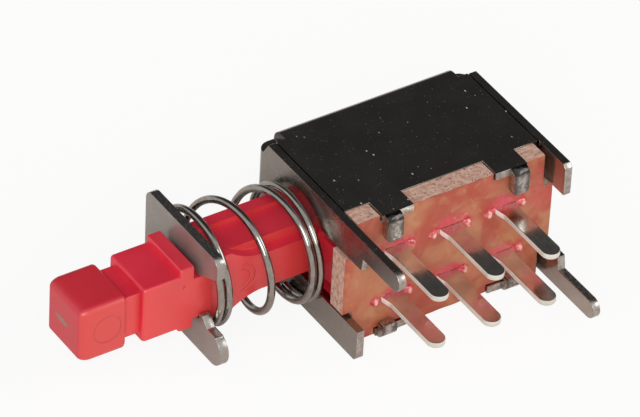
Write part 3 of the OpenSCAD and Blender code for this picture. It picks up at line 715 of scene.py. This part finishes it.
# ---------------------------------------------------------------- pieces on the plunger
def rounded_block(low, high, low_radii, high_radii, steps=7):
    """Box with ellipsoid corners, whose rounding may differ from side to side"""
    bends = [math.tan(math.radians(45 * k / steps)) for k in range(steps + 1)]
    marks = [[lo + r_lo * (1 - b) for b in reversed(bends)] + [hi - r_hi * (1 - b) for b in bends]
             for lo, hi, r_lo, r_hi in zip(low, high, low_radii, high_radii)]

    def onto(point):
        """Draws a point of the sharp box in to the rounded one."""
        cores, radii, off = [], [], []
        for value, lo, hi, r_lo, r_hi in zip(point, low, high, low_radii, high_radii):
            core = min(max(value, lo + r_lo), hi - r_hi)
            radius = r_lo if value < core else r_hi
            cores.append(core)
            radii.append(radius)
            off.append((value - core) / radius)
        size = math.sqrt(sum(o * o for o in off))
        return [core + o / size * radius for core, radius, o in zip(cores, radii, off)]

    bm = bmesh.new()
    for axis in range(3):
        u, v = [i for i in range(3) if i != axis]
        for side in (marks[axis][0], marks[axis][-1]):
            grid = []
            for a in marks[u]:
                row = []
                for b in marks[v]:
                    point = [0, 0, 0]
                    point[axis], point[u], point[v] = side, a, b
                    row.append(bm.verts.new(onto(point)))
                grid.append(row)
            for near, far in zip(grid, grid[1:]):
                for k in range(len(near) - 1):
                    bm.faces.new((near[k], near[k + 1], far[k + 1], far[k]))
    return joined_up(bm)


def united(first, second):
    """One closed surface round two solids"""
    made = []
    for bm in (first, second):
        mesh = bpy.data.meshes.new("part")
        bm.to_mesh(mesh)
        bm.free()
        made.append(bpy.data.objects.new("part", mesh))
        bpy.context.scene.collection.objects.link(made[-1])
    join = made[0].modifiers.new("join", "BOOLEAN")
    join.operation, join.solver, join.object = "UNION", "EXACT", made[1]
    whole = made[0].evaluated_get(bpy.context.evaluated_depsgraph_get())
    bm = bmesh.new()
    bm.from_mesh(whole.to_mesh())
    whole.to_mesh_clear()
    for obj in made:
        mesh = obj.data
        bpy.data.objects.remove(obj)
        bpy.data.meshes.remove(mesh)
    return bm


def make_plunger():
    """The moulding: its shaft and slider come from the CAD, the sections in front get soft edges"""
    whole = solid_from_node("plunger")
    everything = whole.verts[:] + whole.edges[:] + whole.faces[:]
    cut = bmesh.ops.bisect_plane(whole, geom=everything, plane_no=(1, 0, 0), clear_inner=True,
                                 plane_co=(SHAFT_FRONT_X + SECTION_OVERLAP, 0, 0))["geom_cut"]
    rim = [g for g in cut if isinstance(g, bmesh.types.BMEdge)]
    bmesh.ops.edgeloop_fill(whole, edges=rim)
    for v in {v for e in rim for v in e.verts}:
        v.co.x = SHAFT_FRONT_X
    bmesh.ops.recalc_face_normals(whole, faces=whole.faces)
    round_edges(whole, SHAFT_EDGE_RADIUS, 3, lambda e: span(e, 0)[1] < -END_PLATE_X)
    for section in PLUNGER_SECTIONS:
        whole = united(whole, rounded_block(*section))
    bmesh.ops.remove_doubles(whole, verts=whole.verts, dist=FINE_MERGE)
    finish_piece(whole, "red_plunger", "plunger", "plunger", [RED])


def make_retainer():
    bm = solid_from_node("spring_retainer")
    round_edges(bm, RETAINER_EDGE_RADIUS)
    finish_piece(bm, "sheet_retainer", "plunger", "spring_retainer",
                 [RETAINER, RETAINER_EDGE],
                 lambda f: RETAINER if abs(f.normal.x) > 0.6 else RETAINER_EDGE)


def make_clip(i):
    bm = solid_from_node(f"contact_clip_{i}")
    round_edges(bm, CLIP_EDGE_RADIUS)
    finish_piece(bm, f"clip_{i}", "plunger", f"contact_clip_{i}", [BRASS])


# ---------------------------------------------------------------- return spring
def wire_place(turn):
    """Middle of the wire after a number of turns from the front end, and the way outwards there"""
    whole = SPRING_REAR_X - SPRING_FRONT_X
    open_length = whole - CLOSED_PITCH * (FRONT_TURNS + REAR_TURNS)
    opened = min(max(turn - FRONT_TURNS, 0), ACTIVE_TURNS)
    x = CLOSED_PITCH * (turn - opened) + open_length * opened / ACTIVE_TURNS
    middle = [a + (b - a) * (x / whole) for a, b in zip(FRONT_MIDDLE, REAR_MIDDLE)]
    angle = math.radians(START_ANGLE + 360 * turn)
    out = Vector((0, math.cos(angle), math.sin(angle)))
    lean = TURN_LEAN * math.sin(math.pi * opened / ACTIVE_TURNS) * math.sin(angle)
    return Vector((SPRING_FRONT_X + x + lean, *middle)) + out * SPRING_RADIUS, out


def make_spring():
    """Wire swept along its turns, with rounded ends"""
    steps, sides, ahead_turns = round(TURNS * STEPS_PER_TURN), 20, 0.01
    angles = [2 * math.pi * k / sides for k in range(sides)]
    end_size = 1 - WIRE_END_RADIUS / (WIRE / 2)
    places = [0.0, 0.0] + [k / steps for k in range(steps + 1)] + [1.0, 1.0]
    sizes = [0.0, end_size] + [1.0] * (steps + 1) + [end_size, 0.0]
    bm = bmesh.new()
    rings = []
    for t, size in zip(places, sizes):
        centre, out = wire_place(TURNS * t)
        ahead, behind = wire_place(TURNS * t + ahead_turns)[0], wire_place(TURNS * t - ahead_turns)[0]
        along = (ahead - behind).normalized()
        side = along.cross(out).normalized()
        up = side.cross(along)
        if size == 1.0 and t in (0.0, 1.0):
            centre += along * (WIRE_END_RADIUS if t == 0.0 else -WIRE_END_RADIUS)
        radius = WIRE / 2 * size
        rings.append([bm.verts.new(centre + radius * (math.cos(a) * up + math.sin(a) * side))
                      for a in angles])
    for a, b in zip(rings, rings[1:]):
        for k in range(sides):
            j = (k + 1) % sides
            bm.faces.new((a[k], b[k], b[j], a[j]))
    piece = finish_piece(joined_up(bm, FINE_MERGE), "coil_spring", "frame",
                         "return_spring", [SPRING])
    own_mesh(piece)


# ---------------------------------------------------------------- stage, in metres
FLOOR_HALF = 1.5
FLOOR_Z = -0.00003
PAPER = (0.93, 0.88, 0.84, 1)
WHITE = (1, 1, 1, 1)
WHITE_SHARE = 0.9
DARK_SIDE = (0.40, 0.58, 0.71)
SURROUND = (("From Min", 0.55), ("From Max", 0.86), ("To Min", 0.75), ("To Max", 0.058))
# Name, place, size and power in watts
LAMPS = [
    ("key_lamp", (-0.30, -0.42, 0.34), 0.34, 1.6),
    ("fill_lamp", (0.38, -0.30, 0.30), 0.30, 0.6),
]
LAMP_AIM = (-0.004, 0, 0.003)
# Camera of the photograph: place in millimetres, and the directions of its picture
CAMERA_PLACE = (-127.3746, -178.7929, 178.6837)
CAMERA_RIGHT = (0.84217, -0.537493, 0.043009)
CAMERA_DOWN = (-0.308653, -0.545938, -0.7789)
CAMERA_AHEAD = (0.442134, 0.642691, -0.625672)
CAMERA_LENS = 346.139


def make_floor():
    """Pale paper, mostly white to the camera, that still holds the part's shadow"""
    corners = [(-FLOOR_HALF, -FLOOR_HALF, 0), (FLOOR_HALF, -FLOOR_HALF, 0),
               (FLOOR_HALF, FLOOR_HALF, 0), (-FLOOR_HALF, FLOOR_HALF, 0)]
    mesh = bpy.data.meshes.new("floor")
    mesh.from_pydata(corners, [], [(0, 1, 2, 3)])
    floor = bpy.data.objects.new("floor", mesh)
    floor.location.z = FLOOR_Z
    bpy.context.scene.collection.objects.link(floor)
    mat = bpy.data.materials.new("floor_white")
    nodes, links = cleared_tree(mat)
    out = nodes.new("ShaderNodeOutputMaterial")
    paper = nodes.new("ShaderNodeBsdfDiffuse")
    paper.inputs["Color"].default_value = PAPER
    white = nodes.new("ShaderNodeEmission")
    white.inputs["Color"].default_value = WHITE
    white.inputs["Strength"].default_value = 1.0
    path = nodes.new("ShaderNodeLightPath")
    share = nodes.new("ShaderNodeMath")
    share.operation = "MULTIPLY"
    share.inputs[1].default_value = WHITE_SHARE
    links.new(path.outputs["Is Camera Ray"], share.inputs[0])
    mix = nodes.new("ShaderNodeMixShader")
    links.new(share.outputs[0], mix.inputs[0])
    links.new(paper.outputs[0], mix.inputs[1])
    links.new(white.outputs[0], mix.inputs[2])
    links.new(mix.outputs[0], out.inputs[0])
    mesh.materials.append(mat)


def make_world():
    """Even studio surround: white to the camera, with one dark side high up behind the part"""
    world = bpy.data.worlds.new("studio")
    bpy.context.scene.world = world
    nodes, links = cleared_tree(world)
    out = nodes.new("ShaderNodeOutputWorld")
    back = nodes.new("ShaderNodeBackground")
    links.new(back.outputs[0], out.inputs[0])
    coords = nodes.new("ShaderNodeTexCoord")
    dot = nodes.new("ShaderNodeVectorMath")
    dot.operation = "DOT_PRODUCT"
    links.new(coords.outputs["Generated"], dot.inputs[0])
    dot.inputs[1].default_value = Vector(DARK_SIDE).normalized()
    ramp = nodes.new("ShaderNodeMapRange")
    ramp.interpolation_type = "SMOOTHSTEP"
    links.new(dot.outputs["Value"], ramp.inputs["Value"])
    for name, value in SURROUND:
        ramp.inputs[name].default_value = value
    path = nodes.new("ShaderNodeLightPath")
    pick = nodes.new("ShaderNodeMix")
    pick.data_type = "FLOAT"
    links.new(path.outputs["Is Camera Ray"], pick.inputs["Factor"])
    links.new(ramp.outputs[0], pick.inputs[2])
    pick.inputs[3].default_value = 1.0
    links.new(pick.outputs[0], back.inputs["Strength"])
    back.inputs["Color"].default_value = WHITE


def make_lamp(name, place, size, power):
    data = bpy.data.lights.new(name, "AREA")
    data.shape = "DISK"
    data.size = size
    data.energy = power
    lamp = bpy.data.objects.new(name, data)
    bpy.context.scene.collection.objects.link(lamp)
    lamp.location = place
    aim = Vector(LAMP_AIM) - Vector(place)
    lamp.rotation_mode = "QUATERNION"
    lamp.rotation_quaternion = aim.to_track_quat("-Z", "Y")


def make_camera():
    data = bpy.data.cameras.new("camera")
    data.sensor_width = 36
    data.lens = CAMERA_LENS
    data.clip_start, data.clip_end = 0.01, 10
    camera = bpy.data.objects.new("camera", data)
    bpy.context.scene.collection.objects.link(camera)
    rows = Vector(CAMERA_RIGHT), -Vector(CAMERA_DOWN), -Vector(CAMERA_AHEAD)
    turn = Matrix(rows).transposed().to_4x4()
    camera.matrix_world = Matrix.Translation(Vector(CAMERA_PLACE) * MM) @ turn
    bpy.context.scene.camera = camera


make_frame()
make_board()
for number in range(1, 7):
    make_terminal(number)
    make_resin(number)
make_plunger()
make_retainer()
for number in (1, 2):
    make_clip(number)
make_spring()
make_floor()
make_world()
for lamp_row in LAMPS:
    make_lamp(*lamp_row)
make_camera()
bpy.context.scene.view_settings.view_transform = "Standard"
